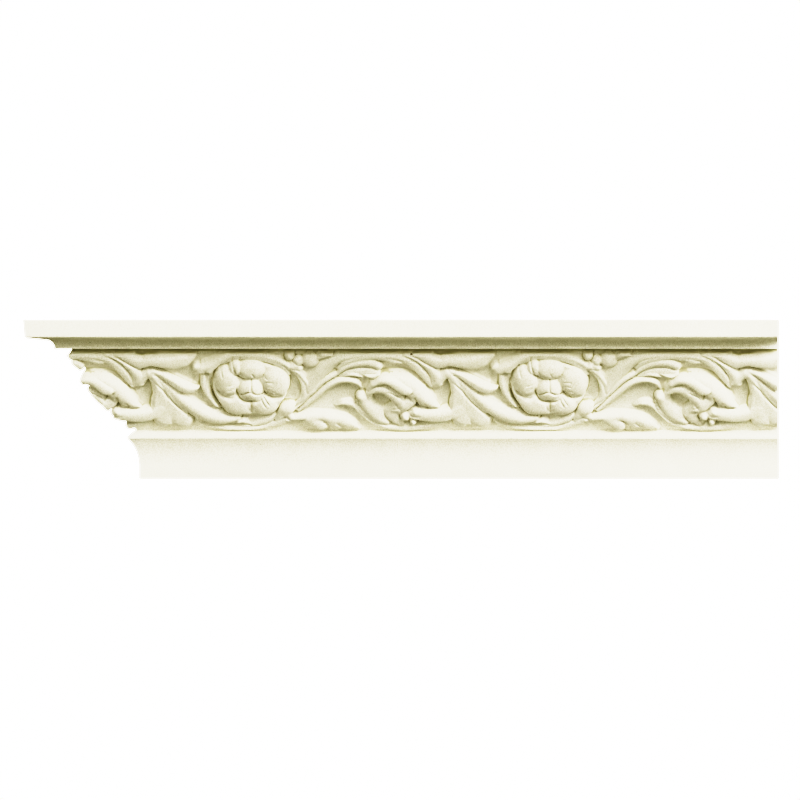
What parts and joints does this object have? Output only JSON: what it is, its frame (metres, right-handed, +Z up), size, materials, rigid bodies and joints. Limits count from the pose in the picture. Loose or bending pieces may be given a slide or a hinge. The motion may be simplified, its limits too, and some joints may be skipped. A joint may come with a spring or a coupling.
{
  "type": "ornamental cornice moulding",
  "caption": "Length of cast cornice with a leaning frieze of scrolling acanthus and five-petalled flowers, mitred at the left end and square at the right.",
  "frame": {"origin": "middle of the face that is glued to the wall", "axes": "+X along the moulding towards its square end, +Y into the wall, +Z up towards the ceiling; the carved face looks along -Y"},
  "size_m": [0.5052, 0.0878, 0.1055],
  "materials": {
    "cast_body": "matt cream cast resin, primed"
  },
  "bodies": {
    "root": {"cornice_moulding": "cast_body"}
  },
  "joints": []
}
